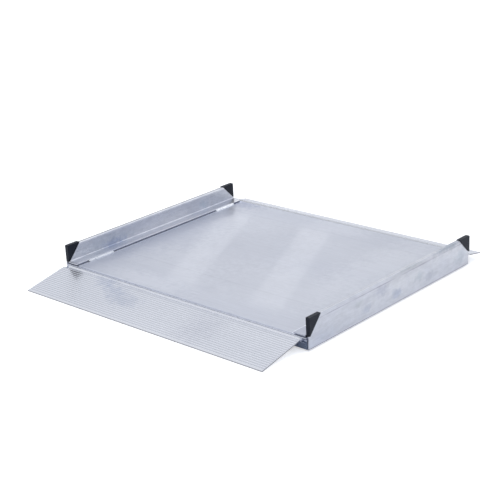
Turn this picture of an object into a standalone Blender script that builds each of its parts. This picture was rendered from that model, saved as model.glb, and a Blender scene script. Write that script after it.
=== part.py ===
"""Low aluminium wheelchair ramp: a folded deck between two kerb rails, with a hinged ribbed flap at each end.

Metres, +Z up. The origin lies on the floor under the middle of the deck. -Y is the front, where the long
flap reaches the floor, and +Y is the rear, where the short lip lies on a door sill.
"""

from math import acos, asin, atan2, ceil, cos, degrees, floor, hypot, pi, radians, sin, sqrt, tan

import bmesh
import bpy
from mathutils import Vector

MM = 0.001

CLEARANCE = 0.3 * MM  # gap between pieces that touch
CUT_MARGIN = 1 * MM  # how far a cutter reaches past what it cuts
SHARP_EDGE = 60  # degrees

# Deck and rails
RAMP_WIDTH = 900 * MM  # over the outer faces of the rails
RAIL_LENGTH = 705 * MM
RAIL_BELOW_DECK = 33.3 * MM  # underside of the rail to the running surface
SHEET = 3 * MM  # deck and rails are folded from this sheet
BEND_INNER = 1.5 * MM
FOOT_BEND = 2 * MM  # hollow bend where the kerb meets its flange
BEND_SEGMENTS = 4
KERB_HEIGHT = 51.2 * MM  # above the running surface
KERB_WIDTH = 11 * MM
FLANGE_REACH = 48 * MM  # outer face of the rail to the flange's welded edge
RETURN_REACH = 22 * MM  # outer face of the rail to the inner edge of its bottom fold
APRON_LIFT = 0.5 * MM  # lower edge of the aprons above the underside of the rails
FLANGE_LIFT = 1.5 * MM  # gap that the welds bridge between deck and flange
FLANGE_CORNER = 12 * MM  # corner cut off the rear end of each flange
FRONT_CUT_START = 3.3 * MM  # lower end of the kerb's slanting cut, above the running surface
FRONT_CUT_LEDGE = 4 * MM  # level stretch between the rail's end and the slant
FRONT_CUT_SLOPE = 1.12  # rise over run
REAR_CUT_START = 4.6 * MM
REAR_CUT_LEDGE = 0
REAR_CUT_SLOPE = 1

# End caps
CAP_WIDTH = 12 * MM
CAP_PROUD_TOP = 1.3 * MM
CAP_PROUD_OUTER = 2.5 * MM
FRONT_CAP_OVERHANG = -1.8 * MM  # past the end of the rail
REAR_CAP_OVERHANG = 2.6 * MM
REAR_CAP_TOE_LIFT = 1.8 * MM  # foot of the rear caps above the lower end of the cut
CAP_CORNER = 1.8 * MM
CAP_TIP = 1.5 * MM  # rounding of the thin tip at the top of the cut
CAP_EDGE = 0.8 * MM
TONGUE_DEPTH = 12 * MM  # how far the cap's tongue enters the kerb, square to the cut
TONGUE_ROOT = 2 * MM  # overlap of the tongue and the cap's body
TONGUE_LIFT = 5 * MM  # lower end of the tongue above the flange

# Hinges
BEAD_RADIUS = 4.5 * MM
HINGE_PLAY = 0.3 * MM
SOCKET_WALL = 1.6 * MM
SOCKET_ROOT = 0.4 * MM  # how far the socket's ring sinks into its leg
SOCKET_RISE = 0.4 * MM  # top of the ring above the running surface
SOCKET_WEB = 3.2 * MM  # half height of the web between ring and leg
LEG_THICKNESS = 2 * MM
LEG_DROP = 1 * MM  # top of the leg below the running surface
LEG_LIFT = 0.8 * MM  # lower edge of the leg above the underside of the rails
SOCKET_END_GAP = 2.2 * MM  # end of the socket to the rail's wall
MOUTH_MARGIN = 2  # degrees between the neck and the upper lip at the end of travel
ARC_STEP = 15  # degrees
STOP_LENGTH = 5 * MM

# Flaps
FLAP_REACH = 147.5 * MM  # hinge axis to the tip
LIP_REACH = 62.5 * MM
FLAP_LEFT_INSET = 2.2 * MM  # from the rail's outer face
FLAP_RIGHT_INSET = 20.5 * MM
LIP_INSET = 2.5 * MM
PLATE = 3 * MM
NECK = 2 * MM
NECK_TAPER = 2.5 * MM
NOSE = 1 * MM
RIB_PITCH = 7.8 * MM
GROOVE_WIDTH = 3.9 * MM
GROOVE_DEPTH = 0.8 * MM
GROOVE_SHOULDER = 0.7  # half width and depth of a groove's rounded side
GROOVE_FLOOR = 0.3  # half width of its flat floor
GROOVE_START = 11.5 * MM  # hinge axis to the middle of the first groove
TIP_LAND = 8 * MM  # least plain width at the tip
TIP_GAP = 0.2 * MM  # tip of the front flap above the floor
FLAP_TRAVEL = 103  # degrees, from the floor to leaning on the caps

# Weld beads
WELD_WIDTH = 6 * MM
WELD_HEIGHT = 4.5 * MM
WELD_FACETS = 4
WELD_INSET = 44 * MM  # end of the rail to the start of the bead
FRONT_WELD_LENGTH = 95 * MM
REAR_WELD_LENGTH = 82 * MM
WELD_RIPPLE = 3 * MM
WELD_DIP = 0.84  # size of the bead between two ripples
WELD_END = 0.55

# Stiffeners and rubber strips
STIFFENER_COUNT = 5
STIFFENER_SPACING = 145 * MM
STIFFENER_WIDTH = 40 * MM
STIFFENER_SHEET = 2.5 * MM
FOOT_THICKNESS = 4.2 * MM
STRIP_WIDTH = 20 * MM
RAIL_STRIP_WIDTH = 10 * MM
STRIP_INSET = 15 * MM  # from the ends of the rails
STRIP_GROOVE = 1.2 * MM

# Places that follow from the sizes above
RAIL_BOTTOM = FOOT_THICKNESS + CLEARANCE
DECK_TOP = RAIL_BOTTOM + RAIL_BELOW_DECK
DECK_UNDERSIDE = DECK_TOP - SHEET
KERB_TOP = DECK_TOP + KERB_HEIGHT
BEND_OUTER = SHEET + BEND_INNER
HALF_WIDTH = RAMP_WIDTH / 2
HALF_LENGTH = RAIL_LENGTH / 2
WALL_INSIDE = HALF_WIDTH - SHEET
FLANGE_EDGE = HALF_WIDTH - FLANGE_REACH
FLANGE_TOP = DECK_TOP + FLANGE_LIFT + SHEET
APRON_INSET = LEG_THICKNESS + CLEARANCE
RETURN_INSET = APRON_INSET + SHEET + CLEARANCE
BORE_RADIUS = BEAD_RADIUS + HINGE_PLAY
RING_RADIUS = BORE_RADIUS + SOCKET_WALL
AXIS_OUT = RING_RADIUS - SOCKET_ROOT  # hinge axis in front of the rail's end
AXIS_DROP = RING_RADIUS - SOCKET_RISE  # hinge axis below the running surface
AXIS_HEIGHT = DECK_TOP - AXIS_DROP
REST_TILT = asin((AXIS_HEIGHT - TIP_GAP) / hypot(FLAP_REACH, PLATE)) - atan2(PLATE, FLAP_REACH)
SOCKET_HALF_LENGTH = WALL_INSIDE - SOCKET_END_GAP
BEAD_END = HALF_WIDTH - FLAP_RIGHT_INSET
STOP_START = BEAD_END + CLEARANCE


def clear_scene():
    for obj in list(bpy.data.objects):
        bpy.data.objects.remove(obj, do_unlink=True)


def new_collection(name):
    collection = bpy.data.collections.new(name)
    bpy.context.scene.collection.children.link(collection)
    return collection


def principled(name, color, roughness, metallic):
    material = bpy.data.materials.new(name)
    material.use_nodes = True
    shader = material.node_tree.nodes["Principled BSDF"]
    shader.inputs["Base Color"].default_value = (*color, 1)
    shader.inputs["Roughness"].default_value = roughness
    shader.inputs["Metallic"].default_value = metallic
    material.diffuse_color = (*color, 1)
    return material


clear_scene()
PARTS = new_collection("wheelchair_ramp")
CUTTERS = new_collection("ramp_cutters")
MILL_ALUMINIUM = principled("mill_aluminium", (0.66, 0.69, 0.74), 0.34, 1)
RIBBED_ALUMINIUM = principled("ribbed_aluminium", (0.68, 0.71, 0.76), 0.38, 1)
WELD_METAL = principled("weld_metal", (0.78, 0.8, 0.84), 0.28, 1)
BLACK_PLASTIC = principled("black_plastic", (0.012, 0.012, 0.015), 0.5, 0)
BLACK_RUBBER = principled("black_rubber", (0.018, 0.018, 0.018), 0.85, 0)


def add_object(name, bm, material, collection=None):
    """A mesh object made from bm, which is freed."""
    mesh = bpy.data.meshes.new(name)
    bmesh.ops.recalc_face_normals(bm, faces=bm.faces)
    bm.to_mesh(mesh)
    bm.free()
    mesh.materials.append(material)
    obj = bpy.data.objects.new(name, mesh)
    (collection or PARTS).objects.link(obj)
    return obj


def add_cutter(name, bm):
    cutter = add_object(name, bm, MILL_ALUMINIUM, CUTTERS)
    cutter.hide_render = True
    cutter.display_type = "WIRE"
    return cutter


def boolean(obj, other, operation="DIFFERENCE"):
    modifier = obj.modifiers.new(other.name, "BOOLEAN")
    modifier.object = other
    modifier.operation = operation
    modifier.solver = "EXACT"
    return modifier


def smooth(obj, angle=30):
    obj.data.shade_smooth()
    obj.data.set_sharp_from_angle(angle=radians(angle))


def arc(radius, start, end):
    """Points of an arc about (0, 0), outwards distance and height, from start to end in degrees."""
    steps = max(2, ceil(abs(end - start) / ARC_STEP))
    angles = [radians(start + (end - start) * step / steps) for step in range(steps + 1)]
    return [(radius * cos(angle), radius * sin(angle)) for angle in angles]


def rounded_outline(corners, segments=3):
    """Outline of (y, z, radius) corners with each corner rounded by its radius."""
    outline = []
    count = len(corners)
    for index, (y, z, radius) in enumerate(corners):
        here = Vector((y, z))
        back = (Vector(corners[index - 1][:2]) - here).normalized()
        ahead = (Vector(corners[(index + 1) % count][:2]) - here).normalized()
        half_angle = acos(back.dot(ahead)) / 2
        centre = here + (back + ahead).normalized() * radius / sin(half_angle)
        first = here + back * radius / tan(half_angle) - centre
        last = here + ahead * radius / tan(half_angle) - centre
        for step in range(segments + 1):
            swept = first.lerp(last, step / segments).normalized() * radius
            outline.append((centre + swept)[:])
    return outline


def extrude_outline(outline, start, end):
    """A bmesh: the closed outline of (y, z) points, extruded along X from start to end."""
    bm = bmesh.new()
    face = bm.faces.new([bm.verts.new((start, y, z)) for y, z in outline])
    extruded = bmesh.ops.extrude_face_region(bm, geom=[face])["geom"]
    moved = [item for item in extruded if isinstance(item, bmesh.types.BMVert)]
    bmesh.ops.translate(bm, verts=moved, vec=(end - start, 0, 0))
    return bm


def folded_sheet(name, corners, sweep, thickness, hollow_bends=()):
    """Sheet folded along corners, the points of its outer side, and swept by the vector sweep.

    hollow_bends holds the corners that turn the other way, where FOOT_BEND is the outer side's own radius.
    """
    outer_bend = thickness + BEND_INNER
    bm = bmesh.new()
    weight = bm.edges.layers.float.new("bevel_weight_edge")
    verts = [bm.verts.new(corner) for corner in corners]
    strip = [bm.edges.new(pair) for pair in zip(verts, verts[1:])]
    extruded = bmesh.ops.extrude_edge_only(bm, edges=strip)["geom"]
    moved = [item for item in extruded if isinstance(item, bmesh.types.BMVert)]
    bmesh.ops.translate(bm, verts=moved, vec=sweep)
    for index, vert in enumerate(verts[1:-1], start=1):
        fold = next(edge for edge in vert.link_edges if len(edge.link_faces) == 2)
        fold[weight] = FOOT_BEND / outer_bend if index in hollow_bends else 1
    obj = add_object(name, bm, MILL_ALUMINIUM)
    bends = obj.modifiers.new("bends", "BEVEL")
    bends.limit_method = "WEIGHT"
    bends.width = outer_bend
    bends.segments = BEND_SEGMENTS
    gauge = obj.modifiers.new("gauge", "SOLIDIFY")
    gauge.thickness = thickness
    gauge.use_even_offset = True
    return obj, gauge


def build_deck():
    """Running surface, folded down at both ends as an apron."""
    half = WALL_INSIDE - CLEARANCE
    end = HALF_LENGTH - APRON_INSET
    apron_bottom = RAIL_BOTTOM + APRON_LIFT
    section = [(-end, apron_bottom), (-end, DECK_TOP), (end, DECK_TOP), (end, apron_bottom)]
    corners = [(-half, y, z) for y, z in section]
    deck, gauge = folded_sheet("deck_plate", corners, (2 * half, 0, 0), SHEET)
    gauge.offset = -1
    smooth(deck)


def rail_corners(side):
    outer = side * HALF_WIDTH
    kerb_inside = side * (HALF_WIDTH - KERB_WIDTH)
    section = [
        (side * (HALF_WIDTH - RETURN_REACH), RAIL_BOTTOM),
        (outer, RAIL_BOTTOM),
        (outer, KERB_TOP),
        (kerb_inside, KERB_TOP),
        (kerb_inside, FLANGE_TOP),
        (side * FLANGE_EDGE, FLANGE_TOP),
    ]
    return [(x, -HALF_LENGTH, z) for x, z in section]


def cut_height(end, run, lift=0.0):
    """Height of a kerb's slanting cut at a distance behind the rail's end, lifted square to the cut.

    end is -1 at the front and 1 at the rear.
    """
    if end < 0:
        start, ledge, slope = FRONT_CUT_START, FRONT_CUT_LEDGE, FRONT_CUT_SLOPE
    else:
        start, ledge, slope = REAR_CUT_START, REAR_CUT_LEDGE, REAR_CUT_SLOPE
    return DECK_TOP + start + (run - ledge) * slope + lift * hypot(1, slope)


def cut_run(end, height, lift=0.0):
    """Distance behind the rail's end at which the cut, lifted square to itself, reaches a height."""
    slope = FRONT_CUT_SLOPE if end < 0 else REAR_CUT_SLOPE
    return (height - cut_height(end, 0, lift)) / slope


def kerb_cut(side, end):
    """Cutter for the slanting end of one kerb, which leaves the flange beside it whole."""
    margin = SHEET
    top = KERB_TOP + margin
    ledge = FRONT_CUT_LEDGE if end < 0 else REAR_CUT_LEDGE
    foot = cut_height(end, ledge)
    outline = [(-margin, foot), (ledge, foot), (cut_run(end, top), top), (-margin, top)]
    placed = [(end * (HALF_LENGTH - run), z) for run, z in outline]
    inner = HALF_WIDTH - KERB_WIDTH - CLEARANCE
    outer = HALF_WIDTH + margin
    return add_cutter("kerb_cut", extrude_outline(placed, side * inner, side * outer))


def flange_corner_cut(side):
    """Cutter for the rear inner corner of a flange, a block standing at 45 degrees across it."""
    block = 4 * FLANGE_CORNER
    bm = bmesh.new()
    bmesh.ops.create_cube(bm, size=block)
    cutter = add_cutter("flange_corner_cut", bm)
    outwards = (block - FLANGE_CORNER * sqrt(2)) / 2 / sqrt(2)
    cutter.location = (side * (FLANGE_EDGE - outwards), HALF_LENGTH + outwards, FLANGE_TOP)
    cutter.rotation_euler = (0, 0, pi / 4)
    return cutter


def return_notch(side, end):
    """Cutter that shortens a rail's bottom fold, to let the apron pass down beside the outer wall."""
    low, high = RAIL_BOTTOM - CUT_MARGIN, RAIL_BOTTOM + BEND_OUTER + CUT_MARGIN
    outline = [(RETURN_INSET, low), (-CUT_MARGIN, low), (-CUT_MARGIN, high), (RETURN_INSET, high)]
    placed = [(end * (HALF_LENGTH - run), z) for run, z in outline]
    inner = HALF_WIDTH - RETURN_REACH - CUT_MARGIN
    return add_cutter("return_notch", extrude_outline(placed, side * inner, side * WALL_INSIDE))


def build_rails():
    """Outer wall, kerb and flange folded from one sheet, with both ends of the kerb cut on a slant."""
    for name, side in (("side_rail_left", -1), ("side_rail_right", 1)):
        rail, gauge = folded_sheet(name, rail_corners(side), (0, RAIL_LENGTH, 0), SHEET, hollow_bends=(4,))
        gauge.offset = -1
        for end in (-1, 1):
            boolean(rail, kerb_cut(side, end))
            boolean(rail, return_notch(side, end))
        boolean(rail, flange_corner_cut(side))
        smooth(rail)


def cap_outline(end):
    """Side view of a cap: distance behind the rail's end, and height."""
    front = end < 0
    nose = -FRONT_CAP_OVERHANG if front else -REAR_CAP_OVERHANG
    foot = cut_height(end, FRONT_CUT_LEDGE if front else REAR_CUT_LEDGE)
    toe = foot + (CLEARANCE if front else REAR_CAP_TOE_LIFT)
    top = KERB_TOP + CAP_PROUD_TOP
    return [
        (nose, toe, CAP_EDGE / 2),
        (nose, top, CAP_CORNER),
        (cut_run(end, top, CLEARANCE), top, CAP_TIP),
        (cut_run(end, toe, CLEARANCE), toe, CAP_EDGE / 2),
    ]


def tongue_outline(end):
    """Plate behind the slanting cut, inside the kerb."""
    bottom = FLANGE_TOP + TONGUE_LIFT
    top = KERB_TOP - SHEET - BEND_INNER
    return [
        (cut_run(end, bottom, -TONGUE_DEPTH), bottom),
        (cut_run(end, bottom, TONGUE_ROOT), bottom),
        (cut_run(end, top, TONGUE_ROOT), top),
        (cut_run(end, top, -TONGUE_DEPTH), top),
    ]


def build_caps():
    """Moulded caps that fill the slanting ends of the kerbs, each held by a tongue in the kerb's hollow."""
    outer = HALF_WIDTH + CAP_PROUD_OUTER
    inner = outer - CAP_WIDTH
    tongue_low = HALF_WIDTH - KERB_WIDTH + SHEET + CLEARANCE
    tongue_high = WALL_INSIDE - CLEARANCE
    for end_name, end in (("front", -1), ("rear", 1)):
        body = [(end * (HALF_LENGTH - run), z) for run, z in rounded_outline(cap_outline(end))]
        tongue = [(end * (HALF_LENGTH - run), z) for run, z in tongue_outline(end)]
        for side_name, side in (("left", -1), ("right", 1)):
            name = f"end_cap_{end_name}_{side_name}"
            cap = add_object(name, extrude_outline(body, side * inner, side * outer), BLACK_PLASTIC)
            edges = cap.modifiers.new("edges", "BEVEL")
            edges.width = CAP_EDGE
            edges.segments = 2
            edges.limit_method = "ANGLE"
            edges.angle_limit = radians(SHARP_EDGE)
            pressed_in = extrude_outline(tongue, side * tongue_low, side * tongue_high)
            plug = add_cutter(name + "_tongue", pressed_in)
            boolean(cap, plug, "UNION")
            smooth(cap)


def neck_angle():
    """Angle below the flap's top plane of the neck's underside where it leaves the socket's bore."""
    return degrees(asin(NECK / BORE_RADIUS))


def socket_outline():
    """Hinge socket about its axis: distance outwards from the deck, and height above the axis."""
    upper_lip = FLAP_TRAVEL - degrees(REST_TILT) + MOUTH_MARGIN
    play_angle = degrees(HINGE_PLAY / BORE_RADIUS)
    lower_lip = 360 - degrees(REST_TILT) - neck_angle() - play_angle
    web_angle = 180 - degrees(asin(SOCKET_WEB / RING_RADIUS))
    leg_top = AXIS_DROP - LEG_DROP
    leg_face = -AXIS_OUT
    leg_back = leg_face - LEG_THICKNESS
    leg_bottom = RAIL_BOTTOM + LEG_LIFT - AXIS_HEIGHT
    return (
        arc(RING_RADIUS, upper_lip, web_angle)
        + [
            (leg_face, SOCKET_WEB),
            (leg_face, leg_top),
            (leg_back, leg_top),
            (leg_back, leg_bottom),
            (leg_face, leg_bottom),
            (leg_face, -SOCKET_WEB),
        ]
        + arc(RING_RADIUS, 360 - web_angle, lower_lip)
        + arc(BORE_RADIUS, lower_lip, upper_lip)
    )


def place_at_hinge(obj, end, tilt=0.0):
    """Puts an object made about the front hinge's axis at the front, or turned round at the rear."""
    obj.location = (0, end * (HALF_LENGTH + AXIS_OUT), AXIS_HEIGHT)
    obj.rotation_euler = (tilt, 0, pi if end > 0 else 0)


def build_sockets():
    """Extruded strips fixed to the aprons, each with an open round socket along the deck's edge."""
    outline = [(-out, height) for out, height in socket_outline()]
    for name, end in (("front_hinge_socket", -1), ("rear_hinge_socket", 1)):
        bm = extrude_outline(outline, -SOCKET_HALF_LENGTH, SOCKET_HALF_LENGTH)
        socket = add_object(name, bm, MILL_ALUMINIUM)
        place_at_hinge(socket, end)
        smooth(socket)


def groove(middle):
    """One rounded groove across the flap, from the hinge side to the tip side."""
    half = GROOVE_WIDTH / 2
    side = [
        (half, 0),
        (half * GROOVE_SHOULDER, -GROOVE_DEPTH * GROOVE_SHOULDER),
        (half * GROOVE_FLOOR, -GROOVE_DEPTH),
    ]
    near = [(middle - across, height) for across, height in side]
    far = [(middle + across, height) for across, height in reversed(side)]
    return near + far


def flap_outline(reach):
    """Section of a flap about its hinge axis: distance outwards, and height above the flap's top plane."""
    outline = arc(BEAD_RADIUS, 0, 360 - degrees(asin(NECK / BEAD_RADIUS)))
    neck_end = RING_RADIUS + NECK
    outline += [(neck_end, -NECK), (neck_end + NECK_TAPER, -PLATE)]
    outline += [(reach - NOSE / 2, -PLATE), (reach, -PLATE + NOSE / 2), (reach, -NOSE), (reach - NOSE, 0)]
    count = floor((reach - GROOVE_START - TIP_LAND) / RIB_PITCH) + 1
    for index in reversed(range(count)):
        outline += reversed(groove(GROOVE_START + index * RIB_PITCH))
    return outline


def bead_cutter(name, start, end, owner):
    """Cutter that takes the bead off one end of a flap, to leave room for its stop."""
    outline = arc(BORE_RADIUS, 0, 360)[:-1]
    cutter = add_cutter(name, extrude_outline(outline, start, end))
    cutter.parent = owner
    boolean(owner, cutter)


def build_flaps():
    """Ribbed extruded flaps, each hung by its bead in a socket and turning about X."""
    flaps = (
        ("front_flap", -1, FLAP_REACH, FLAP_LEFT_INSET, FLAP_RIGHT_INSET),
        ("rear_lip", 1, LIP_REACH, LIP_INSET, LIP_INSET),
    )
    for name, end, reach, left_inset, right_inset in flaps:
        outline = [(-out, height) for out, height in flap_outline(reach)]
        left = -HALF_WIDTH + left_inset
        right = HALF_WIDTH - right_inset
        flap = add_object(name, extrude_outline(outline, left, right), RIBBED_ALUMINIUM)
        place_at_hinge(flap, end, REST_TILT)
        if -BEAD_END > left:
            bead_cutter(name + "_left_bead_cut", left - CUT_MARGIN, -BEAD_END, flap)
        if BEAD_END < right:
            bead_cutter(name + "_right_bead_cut", BEAD_END, right + CUT_MARGIN, flap)
        smooth(flap)


def build_stops():
    """Short dowels fixed in the ends of the sockets, which keep the flaps from sliding out."""
    for end_name, end in (("front", -1), ("rear", 1)):
        for side_name, side in (("left", -1), ("right", 1)):
            bm = bmesh.new()
            bmesh.ops.create_cone(
                bm,
                cap_ends=True,
                segments=24,
                radius1=BORE_RADIUS - CLEARANCE,
                radius2=BORE_RADIUS - CLEARANCE,
                depth=STOP_LENGTH,
            )
            stop = add_object(f"{end_name}_hinge_stop_{side_name}", bm, MILL_ALUMINIUM)
            middle = STOP_START + STOP_LENGTH / 2
            stop.location = (side * middle, end * (HALF_LENGTH + AXIS_OUT), AXIS_HEIGHT)
            stop.rotation_euler = (0, pi / 2, 0)
            smooth(stop)


def weld_section(size):
    """Fillet section in the corner of deck and flange: distance from the flange's edge, and height."""
    turns = [pi / 2 * step / WELD_FACETS for step in range(1, WELD_FACETS)]
    points = [(0, 0), (WELD_WIDTH, 0)]
    points += [(WELD_WIDTH * cos(turn), WELD_HEIGHT * sin(turn)) for turn in turns]
    points.append((0, WELD_HEIGHT))
    return [(across * size, height * size) for across, height in points]


def build_welds():
    """Stitch welds along the flanges' edges: a rippled bead near each end of each rail."""
    for end_name, end, length in (("front", -1, FRONT_WELD_LENGTH), ("rear", 1, REAR_WELD_LENGTH)):
        for side_name, side in (("left", -1), ("right", 1)):
            ripples = max(2, round(length / WELD_RIPPLE))
            edge = side * (FLANGE_EDGE - CLEARANCE)
            foot = DECK_TOP + CLEARANCE
            start = end * (HALF_LENGTH - WELD_INSET)
            step = -end * length / (2 * ripples)
            bm = bmesh.new()
            section = weld_section(WELD_END)
            face = bm.faces.new([bm.verts.new((edge - side * across, start, foot + up)) for across, up in section])
            size = WELD_END
            for index in range(1, 2 * ripples + 1):
                last = index == 2 * ripples
                wanted = WELD_END if last else (1 if index % 2 else WELD_DIP)
                grown = bmesh.ops.extrude_face_region(bm, geom=[face])["geom"]
                if index > 1:
                    bm.faces.remove(face)
                face = next(item for item in grown if isinstance(item, bmesh.types.BMFace))
                bmesh.ops.translate(bm, verts=face.verts, vec=(0, step, 0))
                for vert in face.verts:
                    vert.co.x = edge + (vert.co.x - edge) * wanted / size
                    vert.co.z = foot + (vert.co.z - foot) * wanted / size
                size = wanted
            weld = add_object(f"weld_{end_name}_{side_name}", bm, WELD_METAL)
            smooth(weld, 40)


def stiffener_places():
    middle = (STIFFENER_COUNT - 1) / 2
    return [(index - middle) * STIFFENER_SPACING for index in range(STIFFENER_COUNT)]


def build_stiffeners():
    """Folded channels welded to the deck's underside, from apron to apron."""
    end = HALF_LENGTH - APRON_INSET - SHEET - BEND_INNER
    top = DECK_UNDERSIDE - CLEARANCE
    half = STIFFENER_WIDTH / 2
    for index, x in enumerate(stiffener_places(), start=1):
        section = [(x - half, top), (x - half, RAIL_BOTTOM), (x + half, RAIL_BOTTOM), (x + half, top)]
        corners = [(across, -end, height) for across, height in section]
        name = f"deck_stiffener_{index}"
        stiffener, gauge = folded_sheet(name, corners, (0, 2 * end, 0), STIFFENER_SHEET)
        gauge.offset = -1
        smooth(stiffener)


def strip_outline(width):
    """Rubber strip seen from its end: three flat treads with two grooves between them."""
    half = width / 2
    tread = width / 6
    groove_depth = min(STRIP_GROOVE, FOOT_THICKNESS / 3)
    low = [(-half, 0), (-tread - groove_depth, 0), (-tread, groove_depth), (-tread + groove_depth / 2, 0)]
    mirrored = [(-x, z) for x, z in reversed(low)]
    return low + mirrored + [(half, FOOT_THICKNESS), (-half, FOOT_THICKNESS)]


def build_strips():
    """Rubber strips that the ramp stands on, under every other stiffener and under both rails."""
    half_length = HALF_LENGTH - STRIP_INSET
    rail_strip = HALF_WIDTH - RETURN_REACH + CLEARANCE + RAIL_STRIP_WIDTH / 2
    places = [("rail_left", -rail_strip, RAIL_STRIP_WIDTH), ("rail_right", rail_strip, RAIL_STRIP_WIDTH)]
    for index, x in enumerate(stiffener_places(), start=1):
        if index % 2:
            places.append((f"stiffener_{index}", x, STRIP_WIDTH))
    for place, x, width in places:
        outline = [(-across, height) for across, height in strip_outline(width)]
        bm = extrude_outline(outline, -half_length, half_length)
        strip = add_object(f"rubber_strip_{place}", bm, BLACK_RUBBER)
        strip.location = (x, 0, 0)
        strip.rotation_euler = (0, 0, pi / 2)


build_deck()
build_rails()
build_caps()
build_sockets()
build_flaps()
build_stops()
build_welds()
build_stiffeners()
build_strips()
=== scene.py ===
"""Looks of a low aluminium wheelchair ramp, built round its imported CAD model."""

from math import asin, ceil, cos, degrees, floor, hypot, pi, radians, sin
from random import Random

import bmesh
import bpy
from mathutils import Matrix, Vector


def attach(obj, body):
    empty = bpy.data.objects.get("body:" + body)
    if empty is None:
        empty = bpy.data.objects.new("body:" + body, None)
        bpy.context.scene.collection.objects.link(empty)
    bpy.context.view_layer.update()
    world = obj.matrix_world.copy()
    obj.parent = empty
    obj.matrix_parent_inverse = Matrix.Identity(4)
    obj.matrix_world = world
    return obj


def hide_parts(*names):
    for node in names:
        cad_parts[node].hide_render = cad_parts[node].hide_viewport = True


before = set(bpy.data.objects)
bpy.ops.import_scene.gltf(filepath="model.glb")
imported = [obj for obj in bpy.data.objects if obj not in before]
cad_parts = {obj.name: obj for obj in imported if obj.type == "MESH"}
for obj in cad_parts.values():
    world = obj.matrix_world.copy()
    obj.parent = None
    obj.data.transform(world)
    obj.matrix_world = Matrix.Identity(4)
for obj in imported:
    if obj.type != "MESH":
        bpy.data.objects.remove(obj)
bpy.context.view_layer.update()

# Studio
# A white sweep in a pale room whose ceiling is brightest behind the ramp, with one broad soft light above
# it and two weak strip lights to its left rear. The floor is a real surface, so it keeps the ramp's
# shadow. It is clear when seen from below, so that the underside can be looked at.
WHITE = (1, 1, 1, 1)
FLOOR_SIZE = 14
FLOOR_COLOR = (0.93, 0.935, 0.94, 1)
FLOOR_GLOW = 0.18
FLOOR_SEEN_GLOW = 0.5  # more for the camera alone, so that the sweep is plain white
HORIZON_COLOR = (0.84, 0.86, 0.895, 1)
OVERHEAD_COLOR = (0.86, 0.88, 0.915, 1)
DIM_SIDE = 0.28  # how much dimmer the room is on the right
DIM_COLOR = (0.0, 0.08, 0.3, 1)
CEILING_LIGHT = Vector((0.28, 0.57, 0.772))  # direction of the brightest part of the ceiling
CEILING_SPREAD = 12.0
CEILING_GAIN = 0.9
SOFTBOX_SIZE = (3.2, 2.6)
SOFTBOX_PLACE = Vector((0.3, 1.2, 2.8))
SOFTBOX_POWER = 4
STRIP_LIGHT_SIZE = (0.24, 3.6)
STRIP_LIGHT_PLACES = ((-4.1, 4.0, 2.04), (-3.3, 4.0, 2.04))
STRIP_LIGHT_TURN = radians(26)
STRIP_LIGHT_POWER = 3.1


def add_node(tree, kind, inputs=None, **settings):
    """A shader node with its settings, and its inputs set to values or linked to other sockets."""
    node = tree.nodes.new("ShaderNode" + kind)
    for name, value in settings.items():
        setattr(node, name, value)
    for name, value in (inputs or {}).items():
        if isinstance(value, bpy.types.NodeSocket):
            tree.links.new(value, node.inputs[name])
        else:
            node.inputs[name].default_value = value
    return node


def new_material(name):
    """A material without nodes, and its node tree."""
    material = bpy.data.materials.new(name)
    material.use_nodes = True
    tree = material.node_tree
    tree.nodes.clear()
    return material, tree


def calc(tree, operation, a, b=0.0, clamp=False):
    return add_node(tree, "Math", {0: a, 1: b}, operation=operation, use_clamp=clamp).outputs[0]


def mix_color(tree, factor, a, b, blend="MIX"):
    node = add_node(tree, "Mix", {0: factor, 6: a, 7: b}, data_type="RGBA", blend_type=blend)
    return node.outputs[2]


def paint_floor(floor_plane):
    """Matt white paper, brighter to the camera and in reflections, and clear where its back is seen."""
    material, tree = new_material("white_sweep")
    paper = add_node(tree, "BsdfDiffuse", {"Color": FLOOR_COLOR, "Roughness": 1.0})
    path = add_node(tree, "LightPath")
    mirrored = calc(tree, "ADD", path.outputs["Is Glossy Ray"], path.outputs["Is Transmission Ray"])
    strength = calc(tree, "MULTIPLY", mirrored, FLOOR_GLOW)
    seen = calc(tree, "MULTIPLY", path.outputs["Is Camera Ray"], FLOOR_SEEN_GLOW)
    glow = add_node(tree, "Emission", {"Strength": calc(tree, "ADD", strength, seen)})
    both = add_node(tree, "AddShader", {0: paper.outputs[0], 1: glow.outputs[0]})
    underside = add_node(tree, "NewGeometry").outputs["Backfacing"]
    clear = add_node(tree, "BsdfTransparent")
    surface = add_node(tree, "MixShader", {0: underside, 1: both.outputs[0], 2: clear.outputs[0]})
    add_node(tree, "OutputMaterial", {"Surface": surface.outputs[0]})
    floor_plane.data.materials.append(material)


def build_floor():
    bm = bmesh.new()
    bmesh.ops.create_grid(bm, x_segments=1, y_segments=1, size=FLOOR_SIZE / 2)
    mesh = bpy.data.meshes.new("floor")
    bm.to_mesh(mesh)
    bm.free()
    floor_plane = bpy.data.objects.new("floor", mesh)
    bpy.context.scene.collection.objects.link(floor_plane)
    paint_floor(floor_plane)


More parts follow.
